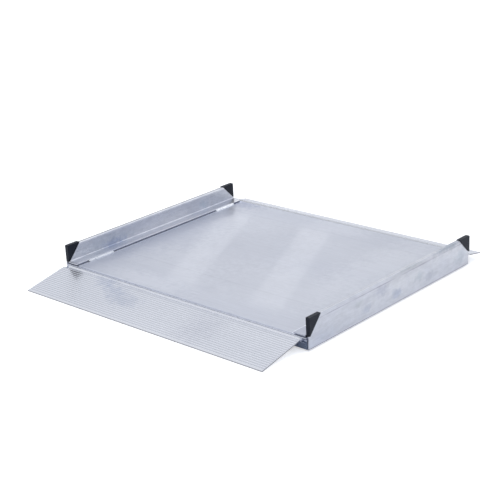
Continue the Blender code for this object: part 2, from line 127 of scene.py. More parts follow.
def build_room():
    """The light that the room sends from all sides. The camera itself sees it plain white."""
    world = bpy.data.worlds.new("pale_room")
    bpy.context.scene.world = world
    world.use_nodes = True
    tree = world.node_tree
    tree.nodes.clear()
    direction = add_node(tree, "TexCoord").outputs["Generated"]
    parts = add_node(tree, "SeparateXYZ", {0: direction})
    room = mix_color(tree, calc(tree, "MAXIMUM", parts.outputs["Z"], 0.0), HORIZON_COLOR, OVERHEAD_COLOR)
    dim = calc(tree, "MULTIPLY", calc(tree, "MAXIMUM", parts.outputs["X"], 0.0), DIM_SIDE)
    room = mix_color(tree, dim, room, DIM_COLOR)
    toward = add_node(tree, "VectorMath", {0: direction, 1: CEILING_LIGHT}, operation="DOT_PRODUCT")
    lit = calc(tree, "POWER", calc(tree, "MAXIMUM", toward.outputs["Value"], 0.0), CEILING_SPREAD)
    room = mix_color(tree, calc(tree, "MULTIPLY", lit, CEILING_GAIN), room, WHITE, "ADD")
    camera_ray = add_node(tree, "LightPath").outputs["Is Camera Ray"]
    color = mix_color(tree, camera_ray, room, WHITE)
    background = add_node(tree, "Background", {"Color": color})
    add_node(tree, "OutputWorld", {"Surface": background.outputs[0]})


def hang_light(name, size, power, place, turn):
    """A rectangular area light that faces along its own -Z."""
    light = bpy.data.lights.new(name, "AREA")
    light.shape = "RECTANGLE"
    light.size, light.size_y = size
    light.energy = power
    lamp = bpy.data.objects.new(name, light)
    lamp.location = place
    lamp.rotation_euler = turn
    bpy.context.scene.collection.objects.link(lamp)


build_floor()
build_room()
toward_ramp = (-SOFTBOX_PLACE).to_track_quat("-Z", "Y").to_euler()
hang_light("softbox", SOFTBOX_SIZE, SOFTBOX_POWER, SOFTBOX_PLACE, toward_ramp)
for light_place in STRIP_LIGHT_PLACES:
    hang_light("strip_light", STRIP_LIGHT_SIZE, STRIP_LIGHT_POWER, light_place, (0, 0, STRIP_LIGHT_TURN))
bpy.context.scene.view_settings.view_transform = "Standard"

# Camera
# The photograph's view, worked out from the ramp's own straight edges. The camera stands off the right
# front corner, looks down a little and leans slightly.
AZIMUTH = radians(44.27)
ELEVATION = radians(20.306)
LEAN = radians(-3.531)
DISTANCE = 3.6525
AIM = Vector((-0.1547, -0.0280, 0.0378))
FOCAL_LENGTH = 90.43
SENSOR_WIDTH = 36
SHIFT_X = 0.0645
NEAREST = 0.05


def build_camera():
    data = bpy.data.cameras.new("camera")
    data.lens = FOCAL_LENGTH
    data.sensor_width = SENSOR_WIDTH
    data.shift_x = SHIFT_X
    data.clip_start = NEAREST
    camera = bpy.data.objects.new("camera", data)
    turn = Matrix.Rotation(AZIMUTH, 4, "Z") @ Matrix.Rotation(pi / 2 - ELEVATION, 4, "X")
    turn = turn @ Matrix.Rotation(LEAN, 4, "Z")
    back = turn.to_3x3() @ Vector((0, 0, 1))
    camera.matrix_world = Matrix.Translation(AIM + back * DISTANCE) @ turn
    bpy.context.scene.collection.objects.link(camera)
    bpy.context.scene.camera = camera


build_camera()

# Deck plate
# The running surface, one sheet of bare rolled aluminium, 3 mm thick. Both ends are folded down on
# a press brake as an apron, and its cut edges are deburred.
MM = 0.001
SHEET = 3 * MM
BEND_RADIUS = 3.6 * MM  # on the outer side of the sheet
BEND_SEGMENTS = 8
DEBURR = 0.3 * MM
SHARP = radians(60)
SMOOTH_LIMIT = radians(35)
CLEARANCE = 0.3 * MM
HALF_WIDTH = 450 * MM
HALF_LENGTH = 352.5 * MM
DECK_TOP = 37.8 * MM
DECK_HALF_WIDTH = HALF_WIDTH - SHEET - CLEARANCE
APRON = 350.2 * MM  # middle of the ramp to the outer face of an apron
APRON_BOTTOM = 5 * MM
DECK_METAL = (0.572, 0.59, 0.655, 1)
DECK_DULL = (0.535, 0.555, 0.628, 1)
POLISH = 0.34  # weight of the coat
POLISH_ROUGHNESS = 0.05
POLISH_REACH = (300 * MM, 240 * MM)  # from the deck's middle: where the sheen starts and where it is full
POLISH_LEFT = (-370 * MM, -310 * MM)  # the same towards the left rail
CREASES = (266 * MM, -190 * MM)  # faint lines across the sheet, over the fixing of the stiffeners
CREASE_HALF_WIDTH = 4 * MM
CREASE_TINT = (0.95, 0.95, 0.955, 1)
# a painted highlight along the crown of each of the deck's bends fades in over this reach
BEND_CROWN = (APRON - BEND_RADIUS - 2 * MM, APRON - BEND_RADIUS + MM)
BEND_CROWN_HIGHLIGHT = (1.14, 1.14, 1.14, 1)
FLANGE_EDGE = 402 * MM  # the rails' flanges cover the sheet from here outwards
FLANGE_SIDE_HIGHLIGHT = (FLANGE_EDGE - 11 * MM, FLANGE_EDGE - 5 * MM)  # painted highlight on the sheet beside each flange
FLANGE_SIDE_HIGHLIGHT_TINT = (1.5, 1.5, 1.48, 1)
# painted shade on the sheet under the edge of each flange
FLANGE_GAP = (FLANGE_EDGE, FLANGE_EDGE + 1.5 * MM)
FLANGE_GAP_SHADE = (0.3, 0.33, 0.42, 1)
# painted shade on the aprons, below the deck's bends
APRON_SHADE = (0.3, 0.34, 0.42, 1)
DECK_PAINTED_REFLECTIONS = (  # painted reflections, lighter and darker, and blue-grey ones by the left rail where the sheet mirrors the kerb; middle and half sizes in metres, colour, strength
    ((0.31, 0.12, 0.038), (0.09, 0.3, 0.05), (0.7, 0.715, 0.775, 1), 0.45),
    ((-0.17, -0.315, 0.038), (0.2, 0.05, 0.05), (0.7, 0.715, 0.775, 1), 0.5),
    ((0.03, 0.315, 0.038), (0.12, 0.05, 0.05), (0.7, 0.715, 0.775, 1), 0.45),
    ((-0.405, 0.0, 0.038), (0.15, 0.31, 0.05), (0.4, 0.43, 0.53, 1), 0.4),
    ((-0.4, 0.34, 0.038), (0.1, 0.045, 0.05), (0.3, 0.33, 0.46, 1), 0.55),
    ((-0.08, 0.04, 0.038), (0.17, 0.22, 0.05), (0.46, 0.475, 0.54, 1), 0.45),
    ((0.1, -0.16, 0.038), (0.17, 0.11, 0.05), (0.49, 0.505, 0.57, 1), 0.4),
)


def round_edges(bm, edges, width, segments, clamp=False):
    """Bevels edges round. With clamp the bevels stop where they would overlap."""
    bmesh.ops.bevel(
        bm,
        geom=edges,
        offset=width,
        offset_type="OFFSET",
        segments=segments,
        profile=0.5,
        affect="EDGES",
        clamp_overlap=clamp,
        material=-1,
    )


def in_fixed_order(bm):
    """The same mesh with its corners and faces sorted by their places. bm is freed.

    Blender's tools leave them in another order each run, and the order decides how a cut comes out to the
    last digit and how a face with many corners is split into triangles.
    """
    verts = sorted(bm.verts, key=lambda vert: vert.co[:])
    for index, vert in enumerate(verts):
        vert.index = index
    rings = []
    for face in bm.faces:
        ring = [vert.index for vert in face.verts]
        first = ring.index(min(ring))
        rings.append(ring[first:] + ring[:first])
    result = bmesh.new()
    corners = [result.verts.new(vert.co) for vert in verts]
    for ring in sorted(rings):
        result.faces.new([corners[index] for index in ring])
    bm.free()
    return result


def bent_strip(corners, sweep, radii):
    """A strip without thickness, folded along corners and swept by the vector sweep.

    radii holds the radius of each fold, on the side that the corners give.
    """
    bm = bmesh.new()
    verts = [bm.verts.new(corner) for corner in corners]
    path = [bm.edges.new(pair) for pair in zip(verts, verts[1:])]
    swept = bmesh.ops.extrude_edge_only(bm, edges=path)["geom"]
    moved = [item for item in swept if isinstance(item, bmesh.types.BMVert)]
    bmesh.ops.translate(bm, verts=moved, vec=sweep)
    for vert, radius in zip(verts[1:-1], radii):
        fold = next(edge for edge in vert.link_edges if len(edge.link_faces) == 2)
        round_edges(bm, [fold], radius, BEND_SEGMENTS)
    return in_fixed_order(bm)


def ease_edges(bm, width, segments=2, angle=SHARP):
    """Rounds every edge that turns by more than angle."""
    bm.normal_update()
    sharp = [edge for edge in bm.edges if edge.is_manifold and edge.calc_face_angle() > angle]
    round_edges(bm, sharp, width, segments, clamp=True)


def thicken(bm, thickness):
    """Gives a bent strip its thickness, away from the side that its faces look to."""
    bm.normal_update()
    bmesh.ops.solidify(bm, geom=bm.faces[:], thickness=thickness)
    bmesh.ops.recalc_face_normals(bm, faces=bm.faces)
    ease_edges(bm, DEBURR)


def add_piece(node, bm, material, body="base"):
    """A visible piece made from bm, which is freed. It stands for the CAD node and rides on a body."""
    mesh = bpy.data.meshes.new(node)
    bm.to_mesh(mesh)
    bm.free()
    mesh.materials.append(material)
    mesh.shade_smooth()
    mesh.set_sharp_from_angle(angle=SMOOTH_LIMIT)
    piece = bpy.data.objects.new(node + "_piece", mesh)
    bpy.context.scene.collection.objects.link(piece)
    flat = piece.modifiers.new("flat_faces", "WEIGHTED_NORMAL")  # flat sheet stays flat between its bends
    flat.keep_sharp = True
    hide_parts(node)
    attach(piece, body)
    return piece


def new_group(name, inputs, outputs):
    """A shader node group with its sockets, and its input node. inputs holds kinds and defaults."""
    tree = bpy.data.node_groups.new(name, "ShaderNodeTree")
    for socket_name, (kind, default) in inputs.items():
        socket = tree.interface.new_socket(socket_name, in_out="INPUT", socket_type="NodeSocket" + kind)
        socket.default_value = default
    for socket_name, kind in outputs.items():
        tree.interface.new_socket(socket_name, in_out="OUTPUT", socket_type="NodeSocket" + kind)
    return tree, tree.nodes.new("NodeGroupInput")


def close_group(tree, **results):
    """Links what a group has worked out to its outputs."""
    end = tree.nodes.new("NodeGroupOutput")
    for socket_name, result in results.items():
        tree.links.new(result, end.inputs[socket_name])


def scaled(tree, vector, scale, offset=(0, 0, 0)):
    return add_node(tree, "Mapping", {"Vector": vector, "Scale": scale, "Location": offset}).outputs[0]


def noise(tree, vector, scale, detail=2.0, roughness=0.5, distortion=0.0):
    inputs = {"Vector": vector, "Scale": scale, "Detail": detail, "Roughness": roughness}
    return add_node(tree, "TexNoise", {**inputs, "Distortion": distortion}).outputs["Fac"]


def remap(tree, value, low, high, to_low=0.0, to_high=1.0):
    """Takes low to to_low and high to to_high, and holds what lies beyond them."""
    inputs = {"Value": value, "From Min": low, "From Max": high, "To Min": to_low, "To Max": to_high}
    return add_node(tree, "MapRange", inputs).outputs[0]


def spread(tree, value, to_low, to_high):
    """Spreads a noise, which hardly leaves 0.3 to 0.7, over a whole range."""
    return remap(tree, value, 0.3, 0.7, to_low, to_high)


def build_rolling_grain():
    """Hairlines, and lines and long streaks along X, as the rolls leave them. 0.5 is the plain sheet."""
    tree, start = new_group(
        "rolling_grain",
        {"Vector": ("Vector", (0, 0, 0)), "Streaks": ("Float", 0.5)},
        {"Hairlines": "Float", "Grain": "Float"},
    )
    vector = start.outputs["Vector"]
    hairlines = noise(tree, scaled(tree, vector, (60, 1400, 1400)), 1.0, 2.0)
    lines = noise(tree, scaled(tree, vector, (14, 420, 420)), 1.0, 2.0)
    streaks = noise(tree, scaled(tree, vector, (5, 130, 130)), 1.0, 3.0)
    mixed = add_node(tree, "Mix", {0: start.outputs["Streaks"], 2: lines, 3: streaks}).outputs[0]
    close_group(tree, Hairlines=hairlines, Grain=mixed)
    return tree


def build_handling_marks():
    """Soft blotches where hands, stacking and heat have dulled the bare metal."""
    tree, start = new_group(
        "handling_marks",
        {"Vector": ("Vector", (0, 0, 0)), "Scale": ("Float", 14.0), "Cover": ("Float", 0.4)},
        {"Mask": "Float"},
    )
    blotches = noise(tree, start.outputs["Vector"], start.outputs["Scale"], 5.0, 0.62, 0.6)
    level = calc(tree, "SUBTRACT", 0.72, calc(tree, "MULTIPLY", start.outputs["Cover"], 0.4))
    above = calc(tree, "SUBTRACT", blotches, level)
    close_group(tree, Mask=calc(tree, "MULTIPLY", above, 5.0, clamp=True))
    return tree


def build_soft_mark():
    """One mark with a soft, ragged border. Size holds its half sizes along the three axes."""
    inputs = {"Vector": (0, 0, 0), "Middle": (0, 0, 0), "Size": (0.1, 0.1, 0.1)}
    inputs = {socket_name: ("Vector", default) for socket_name, default in inputs.items()}
    tree, start = new_group("soft_mark", inputs, {"Mask": "Float"})
    vector, middle, size = (start.outputs[socket_name] for socket_name in inputs)
    away = add_node(tree, "VectorMath", {0: vector, 1: middle}, operation="SUBTRACT").outputs[0]
    away = add_node(tree, "VectorMath", {0: away, 1: size}, operation="DIVIDE").outputs[0]
    distance = add_node(tree, "VectorMath", {0: away}, operation="LENGTH").outputs["Value"]
    ragged = spread(tree, noise(tree, vector, 70.0, 5.0, 0.6), -0.5, 0.5)
    close_group(tree, Mask=remap(tree, calc(tree, "ADD", distance, ragged), 1.25, 0.35))
    return tree


rolling_grain = build_rolling_grain()
handling_marks = build_handling_marks()
soft_mark = build_soft_mark()


def below(tree, place, height):
    """1 where a point lies lower than height, 0 where it lies higher."""
    z = add_node(tree, "SeparateXYZ", {0: place}).outputs["Z"]
    return remap(tree, z, height + MM / 2, height - MM / 2)


def finish_surface(tree, tone, rough, relief, strength, depth, metallic=0.0):
    """The shader and output of a material. relief is the height of its bump, and depth how high 1 is."""
    bump = add_node(tree, "Bump", {"Strength": strength, "Distance": depth, "Height": relief})
    inputs = {"Base Color": tone, "Roughness": rough, "Metallic": metallic, "Normal": bump.outputs[0]}
    shader = add_node(tree, "BsdfPrincipled", inputs)
    add_node(tree, "OutputMaterial", {"Surface": shader.outputs[0]})
    return shader


def mill_finish(
    name,
    color,
    dull_color,
    roughness,
    turn=0.0,
    cover=0.4,
    marking=0.35,
    grain=0.06,
    mottle=0.0,
    hairline=0.06,
    stains_and_reflections=(),
    shade=None,
    metallic=1.0,
):
    """Bare aluminium, rolled or extruded along X, or along Y where turn is a quarter.

    cover and marking are how far handling marks spread and how strong they are. grain is how much the
    rolling lines change the tone, mottle how uneven it is over a few centimetres, and hairline how deep
    the hairlines look. The marks are given as middle, half sizes, colour and strength; on the deck and the
    flaps they are painted reflections. shade gives a colour that the metal's is multiplied by, which
    mostly holds painted light and shade. A metallic below 1 leaves a share of chalky oxide that
    scatters the light.
    """
    material, tree = new_material(name)
    place = add_node(tree, "TexCoord").outputs["Object"]
    along = add_node(tree, "Mapping", {"Vector": place, "Rotation": (0, 0, -turn)}).outputs[0]
    rolled = add_node(tree, "Group", {"Vector": along, "Streaks": 0.4}, node_tree=rolling_grain)
    marks = add_node(tree, "Group", {"Vector": place, "Cover": cover}, node_tree=handling_marks).outputs[0]
    clouds = noise(tree, scaled(tree, along, (1.2, 3.5, 3.5)), 1.0, 3.0)
    tone = mix_color(tree, remap(tree, clouds, 0.35, 0.65), dull_color, color)
    tone = mix_color(tree, calc(tree, "MULTIPLY", marks, marking), tone, dull_color)
    for middle, size, mark_color, strength in stains_and_reflections:
        spot = add_node(tree, "Group", {"Vector": place, "Middle": middle, "Size": size}, node_tree=soft_mark)
        tone = mix_color(tree, calc(tree, "MULTIPLY", spot.outputs[0], strength), tone, mark_color)
    lines = spread(tree, rolled.outputs["Grain"], 1 - grain, 1 + grain)
    if mottle:
        patches = noise(tree, scaled(tree, along, (38, 95, 95)), 1.0, 5.0, 0.65)
        lines = calc(tree, "MULTIPLY", lines, spread(tree, patches, 1 - mottle, 1 + mottle))
    lines = add_node(tree, "CombineColor", {0: lines, 1: lines, 2: lines}).outputs[0]
    tone = mix_color(tree, 1.0, tone, lines, "MULTIPLY")
    if shade:
        tone = mix_color(tree, 1.0, tone, shade(tree, place), "MULTIPLY")
    hairlines = rolled.outputs["Hairlines"]
    rough = spread(tree, hairlines, roughness - hairline, roughness + hairline)
    rough = calc(tree, "ADD", rough, calc(tree, "MULTIPLY", marks, 0.08))
    finish_surface(tree, tone, rough, hairlines, hairline, 0.1 * MM, metallic)
    return material


def creases(tree, place):
    """A mask for the faint lines across the deck."""
    y = add_node(tree, "SeparateXYZ", {0: place}).outputs["Y"]
    lines = 0.0
    for crease in CREASES:
        off = calc(tree, "ABSOLUTE", calc(tree, "SUBTRACT", y, crease))
        lines = calc(tree, "ADD", remap(tree, off, CREASE_HALF_WIDTH, CREASE_HALF_WIDTH / 3), lines)
    return lines


def deck_shade(tree, place):
    """Dull creases, painted highlights on bend crowns and beside flanges, and painted shade under flanges
    and on aprons.
    """
    parts = add_node(tree, "SeparateXYZ", {0: place})
    side = calc(tree, "ABSOLUTE", parts.outputs["X"])
    along = calc(tree, "ABSOLUTE", parts.outputs["Y"])
    tone = mix_color(tree, creases(tree, place), WHITE, CREASE_TINT)
    tone = mix_color(tree, remap(tree, along, *BEND_CROWN), tone, BEND_CROWN_HIGHLIGHT)
    tone = mix_color(tree, remap(tree, side, *FLANGE_SIDE_HIGHLIGHT), tone, FLANGE_SIDE_HIGHLIGHT_TINT)
    tone = mix_color(tree, remap(tree, side, *FLANGE_GAP), tone, FLANGE_GAP_SHADE)
    return mix_color(tree, below(tree, place, DECK_TOP - BEND_RADIUS), tone, APRON_SHADE)


def polish_middle(material):
    """Adds a sharp reflection in the middle of the sheet, where shoes and wheels have rubbed it."""
    tree = material.node_tree
    shader = tree.nodes["Principled BSDF"]
    place = add_node(tree, "TexCoord").outputs["Object"]
    parts = add_node(tree, "SeparateXYZ", {0: place})
    middle = remap(tree, calc(tree, "ABSOLUTE", parts.outputs["Y"]), *POLISH_REACH)
    middle = calc(tree, "MULTIPLY", middle, remap(tree, parts.outputs["X"], *POLISH_LEFT))
    tree.links.new(calc(tree, "MULTIPLY", middle, POLISH), shader.inputs["Coat Weight"])
    shader.inputs["Coat Roughness"].default_value = POLISH_ROUGHNESS


def build_deck():
    corners = [
        (-DECK_HALF_WIDTH, -APRON, APRON_BOTTOM),
        (-DECK_HALF_WIDTH, -APRON, DECK_TOP),
        (-DECK_HALF_WIDTH, APRON, DECK_TOP),
        (-DECK_HALF_WIDTH, APRON, APRON_BOTTOM),
    ]
    bm = bent_strip(corners, (2 * DECK_HALF_WIDTH, 0, 0), (BEND_RADIUS, BEND_RADIUS))
    thicken(bm, SHEET)
    material = mill_finish(
        "deck_metal",
        DECK_METAL,
        DECK_DULL,
        roughness=0.37,
        grain=0.05,
        stains_and_reflections=DECK_PAINTED_REFLECTIONS,
        shade=deck_shade,
        metallic=0.7,
    )
    polish_middle(material)
    add_piece("deck_plate", bm, material)


build_deck()

# Side rails
# Each rail is folded from one sheet of the deck's aluminium: the outer wall, a hollow kerb on top of it,
# and a flange that lies over the deck's edge and is welded to it. Both ends of the kerb are cut on a slant
# before folding.
KERB_TOP = 89 * MM
KERB_WIDTH = 11 * MM
KERB_RADIUS = 3.05 * MM
FOOT_RADIUS = 2 * MM  # hollow bend from kerb to flange
RAIL_BOTTOM = 4.5 * MM
RETURN_REACH = 22 * MM
RETURN_END = 346.9 * MM  # the bottom fold stops here, to let the apron pass
RETURN_NOTCH_SIDE = 447.3 * MM
FLANGE_TOP = 42.3 * MM
FLANGE_CORNER = 12 * MM
KERB_CUTS = {  # front and rear: start above the deck, ledge, slope
    -1: (3.3 * MM, 4 * MM, 1.12),
    1: (4.6 * MM, 0.0, 1.0),
}
RAIL_METAL = (0.72, 0.73, 0.768, 1)
RAIL_DULL = (0.605, 0.622, 0.685, 1)
DIE_LINE = 76.8 * MM  # the press leaves a thin line along the outer wall, this high
DIE_LINE_HALF_WIDTH = 1.3 * MM
DIE_LINE_TINT = (0.6, 0.57, 0.65, 1)
# painted shade on the bottom bend of each rail
LOW_BEND_SHADE = (0.55, 0.54, 0.62, 1)
INNER_BEND = 441 * MM
HIGHLIGHT_FROM = 81 * MM  # painted highlight on the kerb's inner bend, from this height
# painted highlight on the left flange's edge: where it fades in, and where it is full
HIGHLIGHT_EDGE = (FLANGE_EDGE + 10 * MM, FLANGE_EDGE + 4 * MM)
HIGHLIGHT_TINT = (1.32, 1.3, 1.26, 1)
HIGHLIGHT_CORNER = 0.7  # share of that painted highlight on the rim round the flange's corners
CORNER_LINE = HALF_LENGTH - FLANGE_EDGE - FLANGE_CORNER  # length less width, along the flange's corner cut
# painted shade on the edge face of each flange
EDGE_FACE_SHADE = (0.42, 0.44, 0.5, 1)
WALL_PAINTED_SHADING = (  # painted shade and light on the rails; rail; across, along and up in mm, from where a tint fades in to where it is full; tint
    (-1, (436, 450), None, (85.95, 87), (0.33, 0.33, 0.32, 1)),  # painted shade on the left kerb's top
    (-1, (438, 439), (20, 300), (87, 85.95), (0.84, 0.85, 0.87, 1)),  # painted shade on the left kerb's inner wall, to the rear
    (1, (441, 446.95), (-90, 20), (58, 80), (0.86, 0.86, 0.87, 1)),  # painted shade on the right wall's upper half, to the rear
    (1, (441, 446.95), (20, -90), (85.95, 88), (0.88, 0.88, 0.87, 1)),  # painted shade on the right kerb's top, to the front
    (1, (441, 446.95), None, (34, 14), (1.07, 1.07, 1.06, 1)),  # painted light on the right wall's foot
)
FLANGE_PAINTED_SHADE = (1, (441, 437), None, (43.8, 42.8), (0.79, 0.8, 0.84, 1))  # painted shade on the right flange
RAIL_STAINS = (  # middle and half sizes in metres, colour, strength
    ((0.45, 0.255, 0.087), (0.012, 0.06, 0.01), (0.3, 0.35, 0.42, 1), 0.55),
    ((0.45, 0.07, 0.085), (0.01, 0.05, 0.006), (0.48, 0.52, 0.54, 1), 0.5),
    ((0.45, -0.052, 0.062), (0.01, 0.03, 0.015), (0.42, 0.44, 0.54, 1), 0.5),
    ((0.45, 0.01, 0.032), (0.01, 0.019, 0.012), (0.4, 0.45, 0.57, 1), 0.6),
    ((0.45, -0.153, 0.058), (0.01, 0.016, 0.01), (0.5, 0.53, 0.56, 1), 0.5),
    ((0.45, -0.118, 0.033), (0.01, 0.018, 0.01), (0.46, 0.5, 0.6, 1), 0.5),
    ((0.45, 0.115, 0.046), (0.01, 0.02, 0.014), (0.48, 0.53, 0.58, 1), 0.5),
    ((0.45, 0.16, 0.034), (0.01, 0.022, 0.013), (0.48, 0.5, 0.57, 1), 0.5),
    ((0.45, 0.315, 0.042), (0.01, 0.03, 0.02), (0.46, 0.51, 0.57, 1), 0.5),
    ((0.45, -0.31, 0.02), (0.01, 0.06, 0.02), (0.56, 0.6, 0.71, 1), 0.35),
    ((-0.44, -0.2, 0.06), (0.01, 0.12, 0.024), (0.46, 0.51, 0.57, 1), 0.45),
    ((-0.44, -0.178, 0.05), (0.01, 0.05, 0.013), (0.33, 0.38, 0.52, 1), 0.65),
    ((-0.44, 0.214, 0.058), (0.01, 0.024, 0.016), (0.42, 0.5, 0.6, 1), 0.4),
    ((-0.44, 0.28, 0.062), (0.01, 0.05, 0.02), (0.5, 0.53, 0.58, 1), 0.4),
)


def all_of(faces):
    """The faces with their edges and corners, which is what a cut needs."""
    edges = {edge for face in faces for edge in face.edges}
    verts = {vert for face in faces for vert in face.verts}
    return [*faces, *edges, *verts]


def cut_away(bm, faces, point, direction):
    """Cuts faces by a plane and returns those that lie on the side that direction looks to."""
    before = set(faces)
    others = set(bm.faces) - before
    bmesh.ops.bisect_plane(bm, geom=all_of(faces), dist=1e-7, plane_co=point, plane_no=direction)
    mine = [face for face in bm.faces if face not in others]
    return [face for face in mine if (face.calc_center_median() - Vector(point)).dot(Vector(direction)) > 0]


def cut_kerb(bm, end):
    """Takes the slanting piece off one end of the kerb and leaves the flange whole."""
    start, ledge, slope = KERB_CUTS[end]
    kerb_side = HALF_WIDTH - KERB_WIDTH - FOOT_RADIUS / 4  # the bend's faces further in belong to the foot
    corner = (0, end * (HALF_LENGTH - ledge), DECK_TOP + start)
    kerb = [face for face in bm.faces if face.calc_center_median().x > kerb_side]
    beyond = cut_away(bm, kerb, corner, (0, end * slope, 1))
    waste = cut_away(bm, beyond, corner, (0, 0, 1))
    bmesh.ops.delete(bm, geom=waste, context="FACES")


def cut_flange_corner(bm):
    """Cuts the flange's rear corner off at 45 degrees."""
    flange = [face for face in bm.faces if abs(face.calc_center_median().z - FLANGE_TOP) < DEBURR]
    corner = (FLANGE_EDGE + FLANGE_CORNER, HALF_LENGTH, 0)
    waste = cut_away(bm, flange, corner, (-1, 1, 0))
    bmesh.ops.delete(bm, geom=waste, context="FACES")


def notch_return(bm, end):
    """Shortens the bottom fold at one end of the rail."""
    fold = [face for face in bm.faces if face.calc_center_median().z < RAIL_BOTTOM + BEND_RADIUS]
    beyond = cut_away(bm, fold, (0, end * RETURN_END, 0), (0, end, 0))
    waste = cut_away(bm, beyond, (RETURN_NOTCH_SIDE, 0, 0), (-1, 0, 0))
    bmesh.ops.delete(bm, geom=waste, context="FACES")


def mirror_to_left(bm):
    """Turns a piece of the right side into its counterpart, with its faces still outwards."""
    bmesh.ops.scale(bm, verts=bm.verts, vec=(-1, 1, 1))
    bmesh.ops.reverse_faces(bm, faces=bm.faces)


def press_line(tree, place):
    """A mask for the thin line that the press leaves along the outer wall."""
    parts = add_node(tree, "SeparateXYZ", {0: place})
    side = calc(tree, "ABSOLUTE", parts.outputs["X"])
    outside = remap(tree, side, HALF_WIDTH - MM, HALF_WIDTH)
    off = calc(tree, "ABSOLUTE", calc(tree, "SUBTRACT", parts.outputs["Z"], DIE_LINE))
    worn = remap(tree, noise(tree, scaled(tree, place, (1, 9, 1)), 1.0, 2.0), 0.35, 0.6)
    line = calc(tree, "MULTIPLY", remap(tree, off, DIE_LINE_HALF_WIDTH, DIE_LINE_HALF_WIDTH / 2), worn)
    return calc(tree, "MULTIPLY", line, outside)


def flange_rim(tree, place, start):
    """0 on a flange's top face and 1 on its rim. The mask fades in from start below the top."""
    height = add_node(tree, "SeparateXYZ", {0: place}).outputs["Z"]
    return remap(tree, height, FLANGE_TOP - start, FLANGE_TOP - 2 * DEBURR)


def painted_highlights(tree, place):
    """A mask for the painted highlights on the kerbs' inner bends and on the left flange's edge and corner
    rims.
    """
    parts = add_node(tree, "SeparateXYZ", {0: place})
    side = calc(tree, "ABSOLUTE", parts.outputs["X"])
    along = calc(tree, "ABSOLUTE", parts.outputs["Y"])
    height = parts.outputs["Z"]
    inside = remap(tree, side, HALF_WIDTH - KERB_WIDTH / 2, INNER_BEND)
    bend = calc(tree, "MULTIPLY", inside, remap(tree, height, HIGHLIGHT_FROM, KERB_TOP - KERB_RADIUS))
    bend = calc(tree, "MULTIPLY", bend, remap(tree, height, KERB_TOP - MM / 2, KERB_TOP - 2 * MM))
    at_corner = calc(tree, "SUBTRACT", along, side)
    at_corner = remap(tree, at_corner, CORNER_LINE - 4 * MM, CORNER_LINE - 2 * MM)
    corner = calc(tree, "MULTIPLY", at_corner, flange_rim(tree, place, DEBURR))
    corner = calc(tree, "MULTIPLY", corner, HIGHLIGHT_CORNER)
    edge = calc(tree, "MAXIMUM", remap(tree, side, *HIGHLIGHT_EDGE), corner)
    on_left = calc(tree, "LESS_THAN", parts.outputs["X"], 0.0)
    return calc(tree, "MAXIMUM", bend, calc(tree, "MULTIPLY", edge, on_left))


def add_painted_shading(tree, place, tone, rail, across, along, up, tint):
    """Multiplies a part of one rail's tone by tint: painted shade, and painted light where tint is over 1.
    A fade of None leaves that direction open.
    """
    parts = add_node(tree, "SeparateXYZ", {0: place})
    side = calc(tree, "MULTIPLY", parts.outputs["X"], rail)
    mask = calc(tree, "GREATER_THAN", side, 0.0)
    for distance, fade in ((side, across), (parts.outputs["Y"], along), (parts.outputs["Z"], up)):
        if fade:
            start, full = fade
            mask = calc(tree, "MULTIPLY", mask, remap(tree, distance, start * MM, full * MM))
    return mix_color(tree, mask, tone, tint, "MULTIPLY")


def rail_shade(tree, place):
    """The press line, and painted shade and highlights on the bottom bends, walls, kerbs' inner bends and
    flanges.
    """
    tone = mix_color(tree, press_line(tree, place), WHITE, DIE_LINE_TINT)
    tone = mix_color(tree, below(tree, place, RAIL_BOTTOM + BEND_RADIUS), tone, LOW_BEND_SHADE)
    for wall_shading in WALL_PAINTED_SHADING:
        tone = add_painted_shading(tree, place, tone, *wall_shading)
    tone = mix_color(tree, painted_highlights(tree, place), tone, HIGHLIGHT_TINT)
    side = calc(tree, "ABSOLUTE", add_node(tree, "SeparateXYZ", {0: place}).outputs["X"])
    # painted shade on the flanges' edge faces
    shaded_edge = remap(tree, side, FLANGE_EDGE + MM, FLANGE_EDGE + DEBURR)
    shaded_edge = calc(tree, "MULTIPLY", shaded_edge, flange_rim(tree, place, DEBURR / 2))
    tone = mix_color(tree, shaded_edge, tone, EDGE_FACE_SHADE)
    return add_painted_shading(tree, place, tone, *FLANGE_PAINTED_SHADE)


def build_rails():
    section = [
        (HALF_WIDTH - RETURN_REACH, RAIL_BOTTOM),
        (HALF_WIDTH, RAIL_BOTTOM),
        (HALF_WIDTH, KERB_TOP),
        (HALF_WIDTH - KERB_WIDTH, KERB_TOP),
        (HALF_WIDTH - KERB_WIDTH, FLANGE_TOP),
        (FLANGE_EDGE, FLANGE_TOP),
    ]
    corners = [(x, -HALF_LENGTH, z) for x, z in section]
    radii = (BEND_RADIUS, KERB_RADIUS, KERB_RADIUS, FOOT_RADIUS)
    material = mill_finish(
        "rail_metal",
        RAIL_METAL,
        RAIL_DULL,
        roughness=0.32,
        turn=pi / 2,
        cover=0.6,
        grain=0.045,
        mottle=0.08,
        marking=0.7,
        stains_and_reflections=RAIL_STAINS,
        shade=rail_shade,
    )
    for name, left in (("side_rail_left", True), ("side_rail_right", False)):
        bm = bent_strip(corners, (0, 2 * HALF_LENGTH, 0), radii)
        for end in (-1, 1):
            cut_kerb(bm, end)
            notch_return(bm, end)
        cut_flange_corner(bm)
        thicken(bm, SHEET)
        if left:
            mirror_to_left(bm)
        add_piece(name, in_fixed_order(bm), material)


build_rails()

